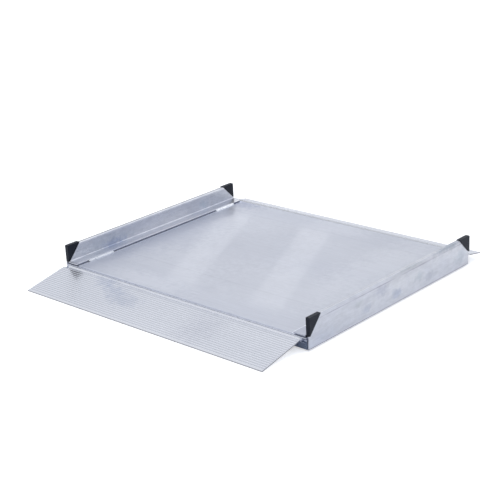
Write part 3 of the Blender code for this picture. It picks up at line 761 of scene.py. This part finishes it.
# Weld beads
# Stitch welds of aluminium filler that join the edge of each flange to the deck, one near each end of
# each rail. They are laid by hand, so their ripples are crescents of uneven size.
WELD_INSET = 44 * MM
WELD_LENGTHS = {-1: 95 * MM, 1: 82 * MM}
WELD_PITCH = 3.4 * MM
WELD_CORE = 2 * MM  # height above the deck that a ripple swells and shrinks about
WELD_GIRTH = (-0.07, 0.05)  # how far a ripple's size may be off
WELD_DRIFT = 0.3 * MM  # how far a ripple may lie off the flange's edge
WELD_METAL = (0.9, 0.92, 0.96, 1)
WELD_SOOT = (0.66, 0.69, 0.75, 1)
WELD_SEED = 11
WELD_SECTION = (  # in mm: from the flange's edge towards the deck, height above the deck, ripple's lag
    (-3.4, 4.4, 0.2),
    (-2.4, 5.2, 0.6),
    (-0.8, 5.7, 1.1),
    (1.2, 5.5, 1.5),
    (3.2, 4.6, 1.5),
    (5.2, 3.0, 1.1),
    (6.8, 1.2, 0.5),
    (7.4, -0.2, 0.0),
    (-3.4, -0.2, 0.0),
)
RIPPLE_PROFILE = (1.0, 0.97, 0.86, 0.74)  # sizes of the section along one ripple


def weld_bead(start, end, length, dice):
    """A bead on the right flange's edge that runs from start towards the middle of the ramp.

    The section is extruded in short steps, and each step is sized by its place in its ripple.
    """
    steps = round(length / WELD_PITCH) * len(RIPPLE_PROFILE)
    bm = bmesh.new()
    face = bm.faces.new([bm.verts.new((0, 0, 0)) for _ in WELD_SECTION])
    for index in range(steps + 1):
        step = index % len(RIPPLE_PROFILE)
        if step == 0:
            girth = 1 + dice.uniform(*WELD_GIRTH)
            drift = dice.uniform(-WELD_DRIFT, WELD_DRIFT)
        taper = min(1.0, 0.6 + 0.2 * min(index, steps - index))
        size = RIPPLE_PROFILE[step] * girth * taper
        if index:
            face = bmesh.ops.extrude_discrete_faces(bm, faces=[face])["faces"][0]
        run = index * WELD_PITCH / len(RIPPLE_PROFILE)
        for vert, (across, height, lag) in zip(face.verts, WELD_SECTION):
            vert.co.x = FLANGE_EDGE + drift - (across * size) * MM
            vert.co.y = start - end * (run - lag * MM)
            vert.co.z = DECK_TOP + WELD_CORE + (height * MM - WELD_CORE) * size
    bmesh.ops.recalc_face_normals(bm, faces=bm.faces)
    return bm


def weld_metal():
    """Bright cast aluminium with a fine grain and grey patches of soot."""
    material, tree = new_material("weld_metal")
    place = add_node(tree, "TexCoord").outputs["Object"]
    grains = noise(tree, place, 900.0, 3.0)
    soot = noise(tree, place, 160.0, 4.0)
    tone = mix_color(tree, remap(tree, soot, 0.45, 0.7), WELD_METAL, WELD_SOOT)
    rough = spread(tree, grains, 0.3, 0.48)
    finish_surface(tree, tone, rough, grains, 0.3, 0.2 * MM, metallic=1.0)
    return material


def build_welds():
    material = weld_metal()
    dice = Random(WELD_SEED)
    for end_name, end in (("front", -1), ("rear", 1)):
        for side in ("left", "right"):
            bm = weld_bead(end * (HALF_LENGTH - WELD_INSET), end, WELD_LENGTHS[end], dice)
            if side == "left":
                mirror_to_left(bm)
            add_piece(f"weld_{end_name}_{side}", bm, material)


build_welds()

# End caps
# Caps moulded from black plastic that fill the slanting ends of the kerbs. Each has rounded edges and a
# tongue that is pressed into the kerb's hollow.
CAP_WIDTH = 12 * MM
CAP_OUTER = 452.5 * MM
CAP_TOP = 90.3 * MM
CAP_NOSES = {-1: 1.8 * MM, 1: -2.6 * MM}  # front and rear: nose behind the rail's end
CAP_TOES = {-1: CLEARANCE, 1: 1.8 * MM}  # front and rear: toe above the lower end of the cut
CAP_CORNER_RADIUS = 1.8 * MM
CAP_EDGE = 0.9 * MM
CAP_SHARP = radians(50)
PLASTIC_BLACK = (0.003, 0.006, 0.015, 1)
PLASTIC_RUBBED = (0.011, 0.015, 0.027, 1)
TONGUE_LOW = 47.3 * MM
TONGUE_HIGH = 84.5 * MM
TONGUE_SIDES = (442.3 * MM, 446.7 * MM)
TONGUE_DEPTH = 12 * MM
TONGUE_ROOT = 2 * MM


def cut_run(end, height, lift=0.0):
    """Distance behind the rail's end at which the kerb's cut, lifted square to itself, has a height."""
    start, ledge, slope = KERB_CUTS[end]
    return ledge + (height - DECK_TOP - start - lift * hypot(1, slope)) / slope


def extrude_section(outline, start, end):
    """A closed body: the outline of (y, z) points, extruded along X from start to end."""
    bm = bmesh.new()
    face = bm.faces.new([bm.verts.new((start, y, z)) for y, z in outline])
    extruded = bmesh.ops.extrude_face_region(bm, geom=[face])["geom"]
    moved = [item for item in extruded if isinstance(item, bmesh.types.BMVert)]
    bmesh.ops.translate(bm, verts=moved, vec=(end - start, 0, 0))
    bmesh.ops.recalc_face_normals(bm, faces=bm.faces)
    return bm


def join_bodies(bm, other):
    """Adds a second closed body to bm."""
    mesh = bpy.data.meshes.new("joined")
    other.to_mesh(mesh)
    other.free()
    bm.from_mesh(mesh)
    bpy.data.meshes.remove(mesh)


def cap_body(end):
    """The part of a right cap that shows: it fills the slanting cut, and its nose and toe stand on it."""
    toe = DECK_TOP + KERB_CUTS[end][0] + CAP_TOES[end]
    nose = CAP_NOSES[end]
    sides = [
        (nose, toe),
        (nose, CAP_TOP),
        (cut_run(end, CAP_TOP, CLEARANCE), CAP_TOP),
        (cut_run(end, toe, CLEARANCE), toe),
    ]
    outline = [(end * (HALF_LENGTH - run), z) for run, z in sides]
    bm = extrude_section(outline, CAP_OUTER - CAP_WIDTH, CAP_OUTER)
    cross = [edge for edge in bm.edges if abs(edge.verts[0].co.x - edge.verts[1].co.x) > MM]
    upper = [edge for edge in cross if edge.verts[0].co.z > CAP_TOP - MM]
    round_edges(bm, upper, CAP_CORNER_RADIUS, 4)
    ease_edges(bm, CAP_EDGE, 3, CAP_SHARP)
    return bm


def cap_tongue(end):
    """The part of a right cap that is pressed into the kerb. Its root reaches into the cap's body."""
    sides = [
        (cut_run(end, TONGUE_LOW, -TONGUE_DEPTH), TONGUE_LOW),
        (cut_run(end, TONGUE_LOW, TONGUE_ROOT), TONGUE_LOW),
        (cut_run(end, TONGUE_HIGH, TONGUE_ROOT), TONGUE_HIGH),
        (cut_run(end, TONGUE_HIGH, -TONGUE_DEPTH), TONGUE_HIGH),
    ]
    outline = [(end * (HALF_LENGTH - run), z) for run, z in sides]
    return extrude_section(outline, *TONGUE_SIDES)


def moulded_plastic():
    """Black plastic from a spark-eroded mould, a little greyer where it has been rubbed."""
    material, tree = new_material("moulded_plastic")
    place = add_node(tree, "TexCoord").outputs["Object"]
    texture = noise(tree, place, 1800.0, 2.0)
    rubbed = noise(tree, place, 60.0, 4.0)
    tone = mix_color(tree, remap(tree, rubbed, 0.45, 0.75), PLASTIC_BLACK, PLASTIC_RUBBED)
    rough = spread(tree, rubbed, 0.42, 0.56)
    shader = finish_surface(tree, tone, rough, texture, 0.25, 0.1 * MM)
    shader.inputs["Specular IOR Level"].default_value = 0.27
    return material


def build_caps():
    material = moulded_plastic()
    for end_name, end in (("front", -1), ("rear", 1)):
        for side in ("left", "right"):
            bm = cap_body(end)
            join_bodies(bm, cap_tongue(end))
            if side == "left":
                mirror_to_left(bm)
            add_piece(f"end_cap_{end_name}_{side}", bm, material)


build_caps()

# Hinge sockets and stops
# An extruded aluminium strip, fixed along each apron by its leg, with an open round socket in which a
# flap's bead turns. A short dowel in each end of a socket keeps the flap from sliding out.
BEAD_RADIUS = 4.5 * MM
BORE_RADIUS = 4.8 * MM
RING_RADIUS = 6.4 * MM
HINGE_OUT = 358.5 * MM
HINGE_HEIGHT = 31.8 * MM
WEB = 3.2 * MM
LEG_THICKNESS = 2 * MM
LEG_TOP = 5 * MM  # above the hinge axis
LEG_BOTTOM = -26.5 * MM
SOCKET_HALF_LENGTH = 444.8 * MM
FLAP_TRAVEL = 103  # degrees
REST_TILT = 11.203  # degrees
NECK = 2 * MM
MOUTH_MARGIN = 2  # degrees
ARC_STEP = 7.5  # degrees
SOCKET_METAL = (0.85, 0.87, 0.93, 1)
SOCKET_DULL = (0.75, 0.775, 0.85, 1)
# painted shade in the gaps beside the open socket
GAP_PAINTED_SHADE = (0.62, 0.64, 0.7, 1)
# painted shade over the whole rear strip
REAR_SOCKET_SHADE = (0.74, 0.74, 0.73, 1)
# darker painted shade on the socket's leg
LEG_PAINTED_SHADE = (0.22, 0.26, 0.34, 1)
STOP_RADIUS = BORE_RADIUS - CLEARANCE
STOP_LENGTH = 5 * MM
STOP_MIDDLE = 432.3 * MM


def arc(radius, start, end):
    """Points of an arc about (0, 0), outwards distance and height, from start to end in degrees."""
    steps = max(2, ceil(abs(end - start) / ARC_STEP))
    angles = [radians(start + (end - start) * step / steps) for step in range(steps + 1)]
    return [(radius * cos(angle), radius * sin(angle)) for angle in angles]


def socket_section():
    """The strip's section about the hinge axis: distance outwards from the deck, and height."""
    upper_lip = FLAP_TRAVEL - REST_TILT + MOUTH_MARGIN
    play = degrees(CLEARANCE / BORE_RADIUS)
    lower_lip = 360 - REST_TILT - degrees(asin(NECK / BORE_RADIUS)) - play
    web_angle = 180 - degrees(asin(WEB / RING_RADIUS))
    leg_face = HALF_LENGTH - HINGE_OUT
    leg_back = leg_face - LEG_THICKNESS
    leg = [
        (leg_face, WEB),
        (leg_face, LEG_TOP),
        (leg_back, LEG_TOP),
        (leg_back, LEG_BOTTOM),
        (leg_face, LEG_BOTTOM),
        (leg_face, -WEB),
    ]
    ring = arc(RING_RADIUS, upper_lip, web_angle) + leg + arc(RING_RADIUS, 360 - web_angle, lower_lip)
    return ring + arc(BORE_RADIUS, lower_lip, upper_lip)


def at_hinge(bm, end, tilt=0.0):
    """Turns a body made about the hinge axis, with +Y outwards, into its place at one end."""
    turn = Matrix.Rotation(tilt, 4, "X")
    if end > 0:
        turn = Matrix.Scale(-1, 4, (0, 1, 0)) @ turn
    bmesh.ops.transform(bm, matrix=turn, verts=bm.verts)
    bmesh.ops.translate(bm, verts=bm.verts, vec=(0, end * HINGE_OUT, HINGE_HEIGHT))
    bmesh.ops.recalc_face_normals(bm, faces=bm.faces)


def socket_shade(tree, place):
    """Painted shade in the gaps beside the open socket, darker on its leg, and over the whole rear strip.
    """
    rear = remap(tree, add_node(tree, "SeparateXYZ", {0: place}).outputs["Y"], 0.0, HALF_LENGTH / 2)
    gaps = below(tree, place, HINGE_HEIGHT + LEG_TOP + DEBURR)
    tone = mix_color(tree, gaps, WHITE, GAP_PAINTED_SHADE)
    tone = mix_color(tree, rear, tone, REAR_SOCKET_SHADE)
    return mix_color(tree, below(tree, place, HINGE_HEIGHT - WEB), tone, LEG_PAINTED_SHADE)


def stop_dowel(end, side):
    """One dowel, lying along the hinge's axis in the end of a socket."""
    bm = bmesh.new()
    bmesh.ops.create_cone(
        bm, cap_ends=True, segments=32, radius1=STOP_RADIUS, radius2=STOP_RADIUS, depth=STOP_LENGTH
    )
    ease_edges(bm, DEBURR * 2)
    bmesh.ops.rotate(bm, verts=bm.verts, matrix=Matrix.Rotation(pi / 2, 3, "Y"))
    bmesh.ops.translate(bm, verts=bm.verts, vec=(side * STOP_MIDDLE, end * HINGE_OUT, HINGE_HEIGHT))
    return bm


def build_sockets():
    material = mill_finish(
        "socket_metal",
        SOCKET_METAL,
        SOCKET_DULL,
        roughness=0.3,
        cover=0.5,
        shade=socket_shade,
        metallic=0.7,
    )
    outline = [(-out, height) for out, height in socket_section()]
    for end_name, end in (("front", -1), ("rear", 1)):
        bm = extrude_section(outline, -SOCKET_HALF_LENGTH, SOCKET_HALF_LENGTH)
        ease_edges(bm, DEBURR)
        at_hinge(bm, end)
        add_piece(f"{end_name}_hinge_socket", bm, material)
        for side_name, side in (("left", -1), ("right", 1)):
            bm = stop_dowel(end, side)
            add_piece(f"{end_name}_hinge_stop_{side_name}", bm, material)


build_sockets()

# Flaps
# Two lengths of one aluminium extrusion with fine ribs for grip: the long flap at the front and the short
# lip at the rear. Its bead is part of it, and is milled off at both ends to leave room for the stops.
PLATE = 3 * MM
NOSE = 1 * MM
NECK_TAPER = 2.5 * MM
RIB_PITCH = 7.8 * MM
GROOVE_DEPTH = 0.8 * MM
GROOVE_START = 11.5 * MM
TIP_LAND = 8 * MM
RIB_ROUNDING = 0.5 * MM
BEAD_END = 429.5 * MM
RIBBED_METAL = (0.8, 0.812, 0.858, 1)
RIBBED_DULL = (0.752, 0.767, 0.818, 1)
# painted shade in the grooves between the ribs
GROOVE_SHADE = (0.79, 0.8, 0.83, 1)
# painted shade on the flap's nose and cut ends
CUT_FACE_SHADE = (0.4, 0.39, 0.4, 1)
FLAP_PAINTED_REFLECTIONS = (  # painted reflections, blue-grey patches of which three in a row make a dark band; middle and half sizes in metres, colour, strength
    ((-0.255, -0.376, 0.028), (0.04, 0.022, 0.05), (0.48, 0.53, 0.66, 1), 0.44),
    ((-0.2, -0.397, 0.023), (0.045, 0.026, 0.05), (0.48, 0.53, 0.66, 1), 0.44),
    ((-0.14, -0.42, 0.019), (0.06, 0.03, 0.05), (0.5, 0.54, 0.65, 1), 0.44),
    ((0.16, -0.43, 0.018), (0.06, 0.07, 0.05), (0.6, 0.61, 0.68, 1), 0.35),
)
FLAP_SIZES = {  # end, reach, left end, right end
    "front_flap": (-1, 147.5 * MM, -447.8 * MM, 429.5 * MM),
    "rear_lip": (1, 62.5 * MM, -447.5 * MM, 447.5 * MM),
}


def plate_section(reach):
    """The ribbed plate from the neck to the nose: distance outwards, and height above its top plane."""
    neck_end = RING_RADIUS + NECK
    points = [(neck_end, 0), (neck_end, -NECK), (neck_end + NECK_TAPER, -PLATE)]
    points += [(reach - NOSE / 2, -PLATE), (reach, -PLATE + NOSE / 2), (reach, -NOSE), (reach - NOSE, 0)]
    count = floor((reach - GROOVE_START - TIP_LAND) / RIB_PITCH) + 1
    half = RIB_PITCH / 4
    for index in reversed(range(count)):
        middle = GROOVE_START + index * RIB_PITCH
        points += [(middle + half, 0), (middle + half / 2, -GROOVE_DEPTH)]
        points += [(middle - half / 2, -GROOVE_DEPTH), (middle - half, 0)]
    return points


def flap_body(reach, left, right):
    """The plate over its whole width, with the neck and bead between the two stops.

    Two attributes on the plate tell the material how deep in a groove a point lies, and whether it is on
    the nose or an end cut by the saw. The material paints shade in both.
    """
    bm = extrude_section([(-out, height) for out, height in plate_section(reach)], left, right)
    bm.normal_update()
    ribs = [
        edge
        for edge in bm.edges
        if edge.calc_face_angle() > radians(20)
        and abs(edge.verts[0].co.x - edge.verts[1].co.x) > PLATE
        and -reach + NOSE < edge.verts[0].co.y < -GROOVE_START + RIB_PITCH
        and edge.verts[0].co.z > -PLATE / 2
    ]
    round_edges(bm, ribs, RIB_ROUNDING, 3)
    ease_edges(bm, DEBURR / 2)
    bead = arc(BEAD_RADIUS, 0, 360 - degrees(asin(NECK / BEAD_RADIUS)))
    bead += [(RING_RADIUS + NECK, -NECK), (RING_RADIUS + NECK, 0)]
    start, end = max(left, -BEAD_END), min(right, BEAD_END)
    join_bodies(bm, extrude_section([(-out, height) for out, height in bead], start, end))
    depth = bm.verts.layers.float.new("groove")
    nose_and_ends = bm.verts.layers.float.new("nose_and_ends")
    skin = NOSE / 20
    for vert in bm.verts:
        if vert.co.y > -RING_RADIUS - NECK:
            continue
        if -PLATE / 2 < vert.co.z < 0:
            vert[depth] = -vert.co.z / GROOVE_DEPTH
        if vert.co.y < skin - reach or not left + skin < vert.co.x < right - skin:
            vert[nose_and_ends] = 1.0
    return bm


def flap_shade(tree, place):
    """Painted shade in the grooves between the ribs, and darker painted shade on the nose and the ends cut
    by the saw.
    """
    depth = add_node(tree, "Attribute", attribute_name="groove").outputs["Fac"]
    tone = mix_color(tree, depth, WHITE, GROOVE_SHADE)
    nose_and_ends = add_node(tree, "Attribute", attribute_name="nose_and_ends").outputs["Fac"]
    return mix_color(tree, nose_and_ends, tone, CUT_FACE_SHADE)


def build_flaps():
    material = mill_finish(
        "ribbed_metal",
        RIBBED_METAL,
        RIBBED_DULL,
        roughness=0.17,
        cover=0.3,
        grain=0.01,
        hairline=0.015,
        stains_and_reflections=FLAP_PAINTED_REFLECTIONS,
        shade=flap_shade,
        metallic=0.87,
    )
    for name, (end, reach, left, right) in FLAP_SIZES.items():
        bm = flap_body(reach, left, right)
        at_hinge(bm, end, radians(REST_TILT))
        add_piece(name, bm, material, name)


build_flaps()

# Stiffeners
# Five channels folded from 2.5 mm aluminium sheet, fixed under the deck from apron to apron. They keep it
# from bowing, and every other one carries it on a rubber strip.
STIFFENER_TOP = 34.5 * MM
STIFFENER_HALF_WIDTH = 20 * MM
STIFFENER_SHEET = 2.5 * MM
STIFFENER_END = 345.7 * MM
STIFFENER_SPACING = 145 * MM
STIFFENER_COUNT = 5
STIFFENER_METAL = (0.64, 0.665, 0.72, 1)
STIFFENER_DULL = (0.55, 0.58, 0.65, 1)


def stiffener_place(index):
    """How far to the right of the middle a stiffener lies, counted from 1 at the left."""
    return (index - (STIFFENER_COUNT + 1) / 2) * STIFFENER_SPACING


def build_stiffeners():
    material = mill_finish("stiffener_metal", STIFFENER_METAL, STIFFENER_DULL, roughness=0.32, turn=pi / 2)
    bend = STIFFENER_SHEET + BEND_RADIUS - SHEET  # the inner radius of the deck's bends
    for index in range(1, STIFFENER_COUNT + 1):
        left = stiffener_place(index) - STIFFENER_HALF_WIDTH
        right = left + 2 * STIFFENER_HALF_WIDTH
        section = [(left, STIFFENER_TOP), (left, RAIL_BOTTOM), (right, RAIL_BOTTOM), (right, STIFFENER_TOP)]
        corners = [(x, -STIFFENER_END, z) for x, z in section]
        bm = bent_strip(corners, (0, 2 * STIFFENER_END, 0), (bend, bend))
        thicken(bm, STIFFENER_SHEET)
        add_piece(f"deck_stiffener_{index}", bm, material)


build_stiffeners()

# Rubber strips
# Extruded black rubber that the ramp stands on, glued under the rails' lower folds and under the first,
# third and fifth stiffener. Two grooves along each strip grip the floor.
STRIP_HALF_LENGTH = 337.5 * MM
STRIP_THICKNESS = 4.2 * MM
STRIP_GROOVE = 1.2 * MM
STRIP_EDGE = 0.4 * MM
RUBBER_BLACK = (0.018, 0.018, 0.019, 1)
RUBBER_DUST = (0.09, 0.088, 0.085, 1)
STRIPS = {  # middle, width
    "rail_left": (-433.3 * MM, 10 * MM),
    "rail_right": (433.3 * MM, 10 * MM),
    "stiffener_1": (stiffener_place(1), 20 * MM),
    "stiffener_3": (stiffener_place(3), 20 * MM),
    "stiffener_5": (stiffener_place(5), 20 * MM),
}


def strip_section(width):
    """Seen from the strip's end: three flat treads with two grooves between them."""
    groove = -width / 6
    low = [
        (-width / 2, 0),
        (groove - STRIP_GROOVE, 0),
        (groove, STRIP_GROOVE),
        (groove + STRIP_GROOVE / 2, 0),
    ]
    mirrored = [(-x, z) for x, z in reversed(low)]
    return low + mirrored + [(width / 2, STRIP_THICKNESS), (-width / 2, STRIP_THICKNESS)]


def black_rubber():
    """Matt rubber with dust in its pores."""
    material, tree = new_material("black_rubber")
    place = add_node(tree, "TexCoord").outputs["Object"]
    pores = noise(tree, place, 1200.0, 3.0)
    dust = noise(tree, place, 45.0, 5.0)
    tone = mix_color(tree, remap(tree, dust, 0.45, 0.8), RUBBER_BLACK, RUBBER_DUST)
    rough = spread(tree, dust, 0.75, 0.95)
    finish_surface(tree, tone, rough, pores, 0.3, 0.15 * MM)
    return material


def build_strips():
    material = black_rubber()
    for place, (middle, width) in STRIPS.items():
        outline = [(-across, height) for across, height in strip_section(width)]
        bm = extrude_section(outline, -STRIP_HALF_LENGTH, STRIP_HALF_LENGTH)
        ease_edges(bm, STRIP_EDGE)
        bmesh.ops.rotate(bm, verts=bm.verts, matrix=Matrix.Rotation(pi / 2, 3, "Z"))
        bmesh.ops.translate(bm, verts=bm.verts, vec=(middle, 0, 0))
        add_piece(f"rubber_strip_{place}", bm, material)


build_strips()
